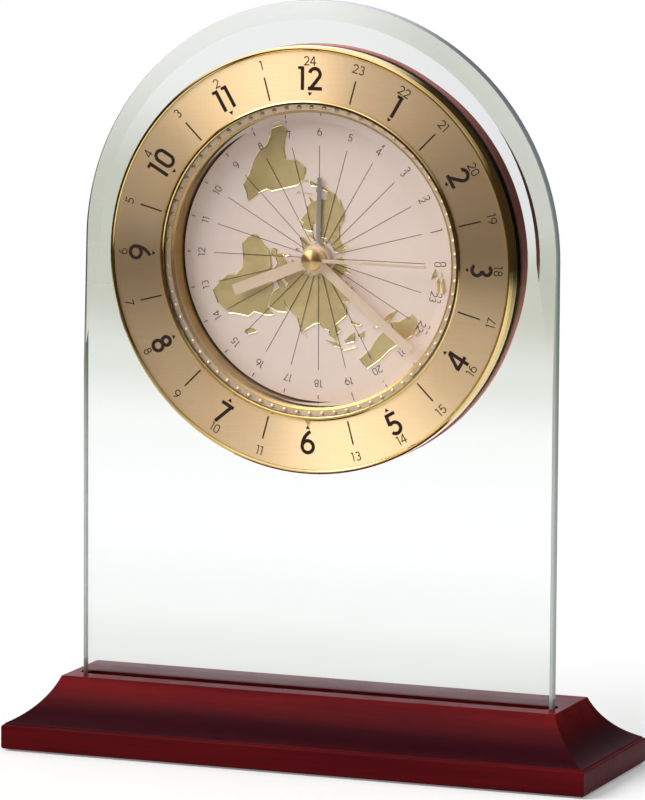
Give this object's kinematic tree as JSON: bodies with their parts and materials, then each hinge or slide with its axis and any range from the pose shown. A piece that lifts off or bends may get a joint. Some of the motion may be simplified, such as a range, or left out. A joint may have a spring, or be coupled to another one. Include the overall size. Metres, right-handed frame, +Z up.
{
  "type": "world time desk clock",
  "caption": "Arched clear glass desk clock on a moulded dark wood base, with a brass dial, a turning map disc for world time and an alarm.",
  "frame": {"origin": "bottom centre of the base", "axes": "+Z up, the dial faces -Y, +X to the right of the dial as it is read"},
  "size_m": [0.184, 0.057, 0.2262],
  "materials": {
    "mahogany": "gloss lacquer over dark red wood",
    "felt": "matte felt",
    "clear_bedding": "clear soft cement",
    "panel_glass": "polished, faint green",
    "polished_brass": "polished",
    "black_rubber": "matte",
    "brushed_brass": "brushed in level lines",
    "black_print": "satin print",
    "crystal_glass": "polished",
    "well_brass": "satin",
    "case_paint": "dark lacquer",
    "clamp_paint": "dark red-brown lacquer",
    "steel": "plated",
    "disc_enamel": "satin pinkish beige",
    "relief_brass": "raised, satin olive gold",
    "dark_print": "print",
    "pale_plastic": "moulded",
    "silver_metal": "satin",
    "rose_brass": "fine brushed",
    "magnet": "dark",
    "core_steel": "bare",
    "copper_wire": "wound wire",
    "bridge_plastic": "moulded",
    "board_green": "solder mask",
    "black_plastic": "fine texture",
    "buzzer_brass": "satin",
    "battery_sleeve": "gloss sleeve",
    "red_plastic": "moulded"
  },
  "bodies": {
    "clock": {"wood_base": "mahogany", "base_felt": "felt", "slot_bed": "clear_bedding", "glass_panel": "panel_glass", "bezel": "polished_brass", "bezel_gasket": "black_rubber", "hour_ring": "brushed_brass", "hour_marks": "black_print", "trim_ring": "polished_brass", "bead_ring": "polished_brass", "crystal": "crystal_glass", "dial_well": "well_brass", "insert_case": "case_paint", "rear_gasket": "black_rubber", "clamp_ring": "clamp_paint", "clamp_screws": "steel", "stator": "core_steel", "coil_core": "core_steel", "coil_winding": "copper_wire", "coil_screws": "steel", "front_plate": "pale_plastic", "bushing_nut": "well_brass", "motion_studs": "steel", "train_bridge": "bridge_plastic", "train_studs": "steel", "bridge_screws": "steel", "circuit_board": "board_green", "quartz_can": "steel", "control_chip": "black_plastic", "buzzer": "buzzer_brass", "battery": "battery_sleeve", "contact_plus": "steel", "contact_minus": "steel", "rear_cover": "black_plastic", "cover_screws": "steel"},
    "minute": {"minute_hand": "rose_brass", "cannon_pinion": "well_brass", "centre_wheel": "pale_plastic"},
    "hour": {"hour_hand": "rose_brass", "hour_wheel": "pale_plastic"},
    "world_disc": {"map_disc": "disc_enamel", "map_relief": "relief_brass", "map_marks": "dark_print", "day_wheel": "pale_plastic"},
    "seconds": {"second_hand": "rose_brass", "seconds_wheel": "pale_plastic"},
    "minute_gear": {"minute_wheel": "pale_plastic"},
    "day_idler_gear": {"day_idler": "pale_plastic"},
    "reverse_gear": {"reverse_idler": "pale_plastic"},
    "third_gear": {"third_wheel": "pale_plastic"},
    "intermediate_gear": {"intermediate_wheel": "pale_plastic"},
    "rotor_magnet": {"rotor": "magnet"},
    "time_setter": {"time_shaft": "pale_plastic", "time_knob": "black_plastic"},
    "alarm": {"alarm_hand": "silver_metal", "alarm_wheel": "pale_plastic"},
    "alarm_setter": {"alarm_shaft": "pale_plastic", "alarm_knob": "black_plastic"},
    "switch": {"alarm_switch": "red_plastic"},
    "door": {"battery_door": "black_plastic"}
  },
  "joints": [
    {"name": "minute_turn", "type": "hinge", "parent": "clock", "child": "minute", "pos_m": [0, 0, 0.1503], "axis": [0, 1, 0], "continuous": true},
    {"name": "hour_turn", "type": "hinge", "parent": "clock", "child": "hour", "pos_m": [0, 0, 0.1503], "axis": [0, 1, 0], "continuous": true},
    {"name": "disc_turn", "type": "hinge", "parent": "clock", "child": "world_disc", "pos_m": [0, 0, 0.1503], "axis": [0, 1, 0], "continuous": true},
    {"name": "seconds_turn", "type": "hinge", "parent": "clock", "child": "seconds", "pos_m": [0, 0, 0.1503], "axis": [0, 1, 0], "continuous": true},
    {"name": "minute_gear_turn", "type": "hinge", "parent": "clock", "child": "minute_gear", "pos_m": [0, 0, 0.1431], "axis": [0, 1, 0], "continuous": true},
    {"name": "day_idler_turn", "type": "hinge", "parent": "clock", "child": "day_idler_gear", "pos_m": [-0.00668, 0, 0.15698], "axis": [0, 1, 0], "continuous": true},
    {"name": "reverse_turn", "type": "hinge", "parent": "clock", "child": "reverse_gear", "pos_m": [-0.00098, 0, 0.15713], "axis": [0, 1, 0], "continuous": true},
    {"name": "third_turn", "type": "hinge", "parent": "clock", "child": "third_gear", "pos_m": [-0.00792, 0, 0.1503], "axis": [0, 1, 0], "continuous": true},
    {"name": "intermediate_turn", "type": "hinge", "parent": "clock", "child": "intermediate_gear", "pos_m": [0.0046, 0, 0.15416], "axis": [0, 1, 0], "continuous": true},
    {"name": "rotor_turn", "type": "hinge", "parent": "clock", "child": "rotor_magnet", "pos_m": [0.0102, 0, 0.15416], "axis": [0, 1, 0], "continuous": true},
    {"name": "time_knob_turn", "type": "hinge", "parent": "clock", "child": "time_setter", "pos_m": [-0.00624, 0, 0.1395], "axis": [0, 1, 0], "continuous": true},
    {"name": "alarm_turn", "type": "hinge", "parent": "clock", "child": "alarm", "pos_m": [0, 0, 0.1503], "axis": [0, 1, 0], "continuous": true},
    {"name": "alarm_knob_turn", "type": "hinge", "parent": "clock", "child": "alarm_setter", "pos_m": [0.00779, 0, 0.1458], "axis": [0, 1, 0], "continuous": true},
    {"name": "switch_slide", "type": "slide", "parent": "clock", "child": "switch", "axis": [1, 0, 0], "range_m": [0, 0.003]},
    {"name": "door_hinge", "type": "hinge", "parent": "clock", "child": "door", "pos_m": [0, 0.0221, 0.1174], "axis": [1, 0, 0], "range_deg": [-90, 0]}
  ],
  "couplings": [
    {"joint": "hour_turn", "follows": "minute_turn", "ratio": 0.083333},
    {"joint": "disc_turn", "follows": "minute_turn", "ratio": -0.041667},
    {"joint": "seconds_turn", "follows": "minute_turn", "ratio": 60},
    {"joint": "minute_gear_turn", "follows": "minute_turn", "ratio": -0.33333},
    {"joint": "day_idler_turn", "follows": "minute_turn", "ratio": -0.055556},
    {"joint": "reverse_turn", "follows": "minute_turn", "ratio": 0.095238},
    {"joint": "third_turn", "follows": "minute_turn", "ratio": -8},
    {"joint": "intermediate_turn", "follows": "minute_turn", "ratio": -300},
    {"joint": "rotor_turn", "follows": "minute_turn", "ratio": 1800},
    {"joint": "time_knob_turn", "follows": "minute_turn", "ratio": 1},
    {"joint": "alarm_knob_turn", "follows": "alarm_turn", "ratio": -2}
  ]
}
